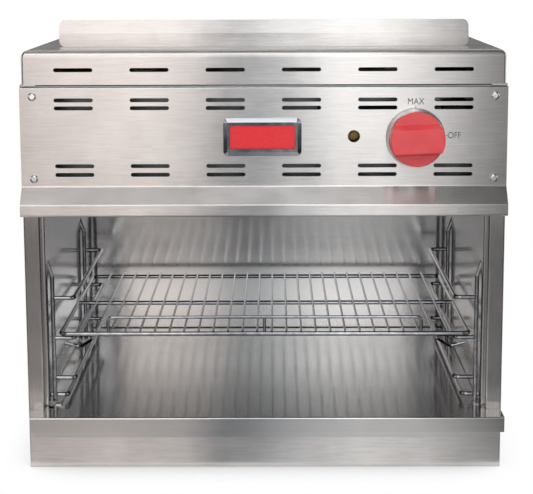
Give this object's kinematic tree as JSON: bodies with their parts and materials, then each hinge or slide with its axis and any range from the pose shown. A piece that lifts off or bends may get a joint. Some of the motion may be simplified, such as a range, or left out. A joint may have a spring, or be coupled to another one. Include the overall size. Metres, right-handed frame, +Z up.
{
  "type": "countertop gas cheese melter",
  "caption": "Countertop gas cheese melter: stainless body with an open front cavity, sliding wire rack, pull-out crumb tray, vented control panel with a red knob and a flue deflector on top.",
  "frame": {"origin": "centre of the outer box's bottom, on the counter", "axes": "+Z up, the front faces -Y, +X to the operator's right"},
  "size_m": [0.61, 0.5315, 0.574],
  "materials": {
    "brushed_stainless": "brushed, horizontal grain",
    "galvanised_sheet": "galvanised",
    "polished_stainless": "polished",
    "chromed_wire": "bright plated",
    "bright_trim": "bright",
    "red_plastic": "satin moulded",
    "red_enamel": "satin",
    "brass_fitting": "as machined",
    "zinc_steel": "zinc plated",
    "steel_pipe": "black pipe",
    "aluminium_tube": "drawn",
    "aluminised_steel": "aluminised",
    "burner_ceramic": "fired ceramic, matt",
    "fibre_blanket": "ceramic fibre"
  },
  "bodies": {
    "housing": {"left_side_casing": "brushed_stainless", "right_side_casing": "brushed_stainless", "back_panel": "brushed_stainless", "base_apron": "brushed_stainless", "top_cover": "brushed_stainless", "flue_grille": "brushed_stainless", "flue_deflector": "brushed_stainless", "deflector_brackets": "brushed_stainless", "control_panel": "brushed_stainless", "base_pan": "galvanised_sheet", "front_rail": "galvanised_sheet", "heat_shield": "galvanised_sheet", "cavity_ceiling": "galvanised_sheet", "ceiling_beam": "galvanised_sheet", "manifold_brackets": "galvanised_sheet", "left_liner": "polished_stainless", "right_liner": "polished_stainless", "back_liner": "polished_stainless", "liner_rivets": "polished_stainless", "left_rack_posts": "chromed_wire", "right_rack_posts": "chromed_wire", "left_rack_rails": "chromed_wire", "right_rack_rails": "chromed_wire", "nameplate_bezel": "bright_trim", "panel_screws": "bright_trim", "back_panel_screws": "bright_trim", "nameplate_plate": "red_enamel", "gas_valve": "brass_fitting", "pilot_valve": "brass_fitting", "burner_orifice": "brass_fitting", "leg_inserts": "zinc_steel", "manifold_pipe": "steel_pipe", "manifold_elbow": "steel_pipe", "inlet_pipe": "steel_pipe", "pilot_tube": "aluminium_tube", "burner_body": "aluminised_steel", "mixing_tube": "aluminised_steel", "burner_guard": "aluminised_steel", "pilot_burner": "aluminised_steel", "burner_tiles": "burner_ceramic", "wall_insulation": "fibre_blanket"},
    "stem_core": {"stem_washer": "zinc_steel"},
    "knob": {"knob": "red_plastic", "knob_skirt": "bright_trim", "valve_stem": "zinc_steel"},
    "rack": {"rack_frame": "chromed_wire", "rack_wires": "chromed_wire", "rack_guard": "chromed_wire", "rack_hooks": "chromed_wire"},
    "tray": {"crumb_tray": "polished_stainless"}
  },
  "joints": [
    {"name": "knob_push", "type": "slide", "parent": "housing", "child": "stem_core", "axis": [0, 1, 0], "range_m": [0, 0.003], "stiffness_N_per_m": 1500, "springref_m": -0.001},
    {"name": "knob_turn", "type": "hinge", "parent": "stem_core", "child": "knob", "pos_m": [0.19, -0.2361, 0.43], "axis": [0, -1, 0], "range_deg": [0, 180]},
    {"name": "rack_slide", "type": "slide", "parent": "housing", "child": "rack", "axis": [0, -1, 0], "range_m": [0, 0.25]},
    {"name": "tray_slide", "type": "slide", "parent": "housing", "child": "tray", "axis": [0, -1, 0], "range_m": [0, 0.38]}
  ]
}
